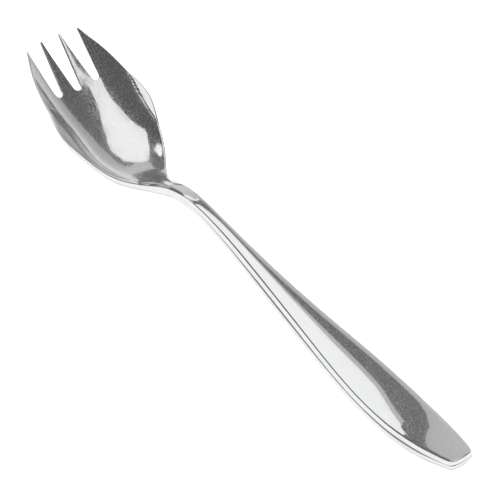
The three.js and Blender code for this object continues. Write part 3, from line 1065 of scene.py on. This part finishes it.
paper, paper_tree, paper_shader = matt("pale_paper", PAPER_TONE, 0.0)
on_paper = add(paper_tree, "TexCoord").outputs["Object"]
across_paper = add(paper_tree, "SeparateXYZ", {"Vector": on_paper}).outputs["Y"]
# painted shade: the paper's colour darkens towards its far side, where no lamp casts a shadow
painted_paper_shade = add(paper_tree, "MapRange",
                 {"Value": across_paper, "From Min": PAINTED_SHADE_END, "From Max": PAINTED_SHADE_START,
                  "To Min": PAINTED_SHADE_TONE, "To Max": PAPER_TONE},
                 interpolation_type="SMOOTHSTEP").outputs["Result"]
camera_ray = add(paper_tree, "LightPath").outputs["Is Camera Ray"]
paper_tree.links.new(painted_paper_shade, paper_shader.inputs["Base Color"])
paper_tree.links.new(camera_ray, paper_shader.inputs["Emission Strength"])
floor = flat_sheet("floor", [(-FLOOR_HALF, -FLOOR_HALF, 0), (FLOOR_HALF, -FLOOR_HALF, 0),
                             (FLOOR_HALF, FLOOR_HALF, 0), (-FLOOR_HALF, FLOOR_HALF, 0)],
                   paper)
floor.location.z = -FLOOR_DROP
print("paper", 2 * FLOOR_HALF, "m square")

# %% [markdown]
# ## The lights
#
# Over the fork hangs one softbox, seen as the white shape in the bowl and as the bright
# side of the handle. Its outline was worked out backwards: a place of the photograph gives
# a place on the fork, its normal turns the line of sight, and the turned line meets a
# plane overhead. One flat card cannot serve the bowl and the handle at the same time,
# because they see it from different places, so a small low card over the bowl fills what
# is missing there. A skirt softens the softbox's edge, and a second light gives the spot
# near the heel. Area lights have round or straight edges only, so these are cards that
# glow.

# %% Cards overhead
CARD_HEIGHT, BOWL_FILL_HEIGHT = 6.0, 0.06
SOFTBOX_GLOW, SKIRT_GLOW, SECOND_GLOW = 1.11, 0.55, 1.4


def glowing_card(name, corners, glow):
    """A bright flat card that the camera itself does not see."""
    card = flat_sheet(name, corners, matt(name, 0, glow)[0])
    card.visible_camera = False
    card.visible_shadow = False
    return card


def overhead(name, shares, glow):
    """A card that the fork's middle sees in these directions, given as run over rise."""
    corners = [(CARD_HEIGHT * x, CARD_HEIGHT * y, CARD_HEIGHT) for x, y in shares]
    return glowing_card(name, corners, glow)


overhead("softbox", [
    (-0.62, -0.47), (-0.60, -0.36), (-0.53, -0.33), (-0.49, -0.27), (-0.46, -0.20),
    (-0.44, -0.10), (-0.44, 0.17), (-0.39, 0.15), (-0.34, 0.13), (-0.27, 0.14), (-0.19, 0.21),
    (-0.12, 0.28), (-0.06, 0.36), (0.03, 0.43), (0.13, 0.52), (0.20, 0.61), (0.31, 0.72),
    (0.39, 0.67), (0.48, 0.48), (0.59, 0.32), (0.68, 0.17), (0.75, 0.02), (0.79, -0.23),
    (0.79, -0.47), (0.67, -0.49), (0.56, -0.54), (0.50, -0.53), (0.44, -0.49), (0.41, -0.66),
    (0.32, -0.66), (0.22, -0.62), (0.14, -0.57), (0.07, -0.51), (-0.04, -0.46), (-0.16, -0.39),
    (-0.23, -0.33), (-0.30, -0.30), (-0.40, -0.29), (-0.43, -0.31), (-0.45, -0.45)],
    SOFTBOX_GLOW)
glowing_card("bowl_fill", [(x * MM, y * MM, BOWL_FILL_HEIGHT) for x, y in (
    (81.4, 0.8), (88.9, -8.4), (100.6, -21.3), (100.9, -28.9), (98.0, -31.9), (93.0, -34.3),
    (88.5, -34.9), (84.1, -37.6), (77.6, -35.8), (72.8, -35.5), (68.7, -35.9), (68.5, -24.0),
    (77.5, -16.0))], SOFTBOX_GLOW)
overhead("softbox_skirt", [
    (0.39, -0.43), (0.50, -0.53), (0.56, -0.54), (0.67, -0.49), (0.79, -0.47), (0.80, -0.53),
    (0.67, -0.55), (0.57, -0.59), (0.50, -0.59), (0.40, -0.53)], SKIRT_GLOW)
overhead("second_light", [
    (0.84, 0.30), (0.90, 0.59), (1.08, 0.87), (1.35, 1.02), (1.45, 0.73), (1.50, 0.43),
    (1.39, 0.19), (1.07, 0.26)], SECOND_GLOW)
print("two lights, one low card and a skirt, seen only in the steel")

# %% [markdown]
# ## The screens and the room
#
# A large grey screen lies behind the far side and gives the grey band along the bowl and
# the far half of the handle. It is no lamp but glows by itself, and its glow is painted
# dimmer next to the softbox, as if it were lit from its far side. A pale sweep stands on
# the near side, an overhead lamp lights the paper only, and the rest of the room is dark,
# a little less so behind the grey screen. A picture of a real room as the world would be
# easier, but it would bring its own shapes into the bowl.

# %% The grey screen and the sweep
SCREEN_DIM_PLACE = (-0.2 * CARD_HEIGHT, -0.9 * CARD_HEIGHT, CARD_HEIGHT)
SCREEN_DIM, SCREEN_BRIGHT = 0.46, 0.72
SCREEN_FROM, SCREEN_TO = 3.0, 15.0  # metres from the dim place
SWEEP_PLACE, SWEEP_HALF, SWEEP_HEIGHT, SWEEP_GLOW = 5.0, 12.0, 1.45, 0.92
grey = overhead("grey_screen", [
    (-1.50, -10.40), (-0.30, -1.33), (0.07, -1.02), (0.29, -0.92), (0.48, -0.84), (0.76, -0.87),
    (0.95, -0.88), (1.03, -0.79), (0.98, -0.50), (0.91, -0.24), (0.86, -0.07), (1.04, -0.30),
    (2.03, -0.74), (14.00, -3.90), (14.00, -9.50), (5.00, -9.20), (2.60, -8.20),
    (4.10, -18.60), (-2.50, -19.00)], SCREEN_DIM)
grey_tree = grey.data.materials[0].node_tree
on_screen = add(grey_tree, "TexCoord").outputs["Object"]
# painted light: the screen's own glow is made dimmer next to the softbox, standing in for light
# on its far side
away = add(grey_tree, "VectorMath", {0: on_screen, 1: SCREEN_DIM_PLACE},
           operation="DISTANCE").outputs["Value"]
glow = add(grey_tree, "MapRange", {"Value": away, "From Min": SCREEN_FROM, "From Max": SCREEN_TO,
                                   "To Min": SCREEN_DIM, "To Max": SCREEN_BRIGHT})
grey_tree.links.new(glow.outputs["Result"],
                    grey_tree.nodes["Principled BSDF"].inputs["Emission Strength"])
glowing_card("white_sweep", [(-SWEEP_HALF, SWEEP_PLACE, 0), (SWEEP_HALF, SWEEP_PLACE, 0),
                             (SWEEP_HALF, SWEEP_PLACE, SWEEP_HEIGHT),
                             (-SWEEP_HALF, SWEEP_PLACE, SWEEP_HEIGHT)], SWEEP_GLOW)
print("grey screen", CARD_HEIGHT, "m up, sweep", SWEEP_HEIGHT, "m high")

# %% The lamp and the room
LAMP_SIZE, LAMP_POWER, LAMP_HEIGHT = 3.0, 56, 2.0
PALE_SIDE, PALE_FULL, DARK_ROOM, PALE_ROOM = (0.6, -0.8, 0), 0.8, 0.118, 0.19
lamp_data = bpy.data.lights.new("floor_light", "AREA")
lamp_data.size, lamp_data.energy = LAMP_SIZE, LAMP_POWER
lamp = bpy.data.objects.new("floor_light", lamp_data)
lamp.location = (0, 0, LAMP_HEIGHT)
lamp.visible_glossy = False
bpy.context.scene.collection.objects.link(lamp)

bpy.context.scene.view_settings.view_transform = "Standard"
world = bpy.data.worlds.new("studio")
bpy.context.scene.world = world
world.use_nodes = True
room_tree = world.node_tree
direction = add(room_tree, "TexCoord").outputs["Generated"]
side = add(room_tree, "VectorMath", {0: direction, 1: PALE_SIDE},
           operation="DOT_PRODUCT").outputs["Value"]
walls = add(room_tree, "MapRange", {"Value": side, "From Min": 0.0, "From Max": PALE_FULL,
                                    "To Min": DARK_ROOM, "To Max": PALE_ROOM},
            interpolation_type="SMOOTHSTEP").outputs["Result"]
seen_by_camera = add(room_tree, "LightPath").outputs["Is Camera Ray"]
room = add(room_tree, "Mix", {"Factor": seen_by_camera}, data_type="RGBA")
room_tree.links.new(walls, room.inputs["A"])
room.inputs["B"].default_value = (1, 1, 1, 1)
room_tree.links.new(room.outputs["Result"], room_tree.nodes["Background"].inputs["Color"])
print("the room's light runs from", DARK_ROOM, "to", PALE_ROOM)

# %% [markdown]
# ## Camera
#
# The camera stands where the photograph was taken: 45 degrees up, behind and to the left
# of the handle, with a long lens. These numbers come from one fit of the camera and the
# fork's sizes to the outline in the photograph, since neither can be found without the
# other.

# %% Camera at the photograph's place
AZIMUTH, ELEVATION, DISTANCE, LENS, SENSOR = 232.46, 45.03, 0.60163, 200.1, 36
TARGET = (0.00049, -0.00191, 0.005)
turn, tilt = math.radians(AZIMUTH), math.radians(ELEVATION)
back = np.array([math.sin(turn) * math.cos(tilt), -math.cos(turn) * math.cos(tilt),
                 math.sin(tilt)])
camera_data = bpy.data.cameras.new("camera")
camera_data.lens, camera_data.sensor_width = LENS, SENSOR
camera_data.clip_start, camera_data.clip_end = 0.05, 30
camera = bpy.data.objects.new("camera", camera_data)
camera.location = np.array(TARGET) + back * DISTANCE
camera.rotation_mode = "QUATERNION"
camera.rotation_quaternion = Vector(-back).to_track_quat("-Z", "Y")
bpy.context.scene.collection.objects.link(camera)
bpy.context.scene.camera = camera
print("camera", round(DISTANCE, 3), "m from the fork,", ELEVATION, "degrees up")
